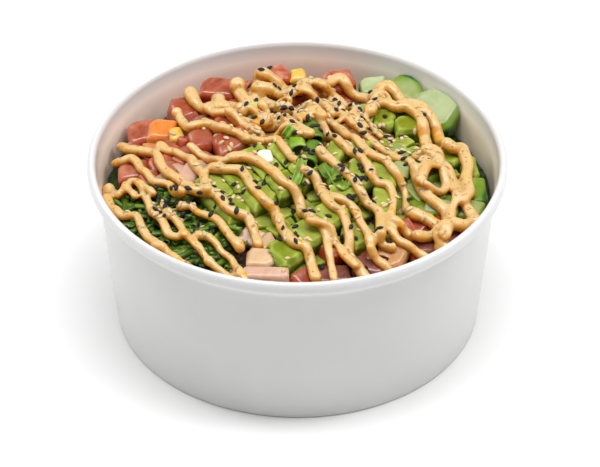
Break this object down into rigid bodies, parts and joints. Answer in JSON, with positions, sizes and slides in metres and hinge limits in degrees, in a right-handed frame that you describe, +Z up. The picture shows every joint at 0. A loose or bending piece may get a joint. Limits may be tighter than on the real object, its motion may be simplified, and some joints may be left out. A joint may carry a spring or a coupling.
{
  "type": "poke bowl",
  "caption": "Round paper bowl heaped with cubed fish, avocado and cucumber on chopped greens, under a drizzle of thick peach-coloured sauce and sesame.",
  "frame": {"origin": "middle of the ring that the bowl stands on, at table height", "axes": "+Z up, -Y towards the front, +X to the right seen from the front"},
  "size_m": [0.165, 0.165, 0.0797],
  "materials": {
    "paper": "satin",
    "sauce": "satin",
    "tuna": "gloss",
    "salmon": "gloss",
    "pale_fish": "gloss",
    "avocado": "satin",
    "cucumber": "gloss",
    "corn": "gloss",
    "onion": "gloss",
    "tofu": "satin",
    "scallion": "satin"
  },
  "bodies": {
    "root": {"bowl": "paper", "bed_and_sauce": "sauce", "tuna_1": "tuna", "tuna_2": "tuna", "tuna_3": "tuna", "tuna_4": "tuna", "tuna_5": "tuna", "tuna_6": "tuna", "tuna_7": "tuna", "tuna_8": "tuna", "tuna_9": "tuna", "tuna_10": "tuna", "tuna_11": "tuna", "tuna_12": "tuna", "tuna_13": "tuna", "tuna_14": "tuna", "tuna_15": "tuna", "salmon_1": "salmon", "salmon_2": "salmon", "corn_1": "corn", "corn_2": "corn", "pale_fish_1": "pale_fish", "pale_fish_2": "pale_fish", "pale_fish_3": "pale_fish", "onion_1": "onion", "tofu_1": "tofu", "avocado_1": "avocado", "avocado_2": "avocado", "avocado_3": "avocado", "avocado_4": "avocado", "avocado_5": "avocado", "avocado_6": "avocado", "avocado_7": "avocado", "avocado_8": "avocado", "avocado_9": "avocado", "avocado_10": "avocado", "avocado_11": "avocado", "avocado_12": "avocado", "avocado_13": "avocado", "avocado_14": "avocado", "avocado_15": "avocado", "avocado_16": "avocado", "avocado_17": "avocado", "avocado_18": "avocado", "avocado_19": "avocado", "avocado_20": "avocado", "avocado_21": "avocado", "avocado_22": "avocado", "cucumber_1": "cucumber", "cucumber_2": "cucumber", "cucumber_3": "cucumber", "cucumber_4": "cucumber", "cucumber_5": "cucumber", "cucumber_6": "cucumber", "cucumber_7": "cucumber", "cucumber_8": "cucumber", "scallion_1": "scallion", "scallion_2": "scallion", "scallion_3": "scallion", "scallion_4": "scallion"}
  },
  "joints": []
}
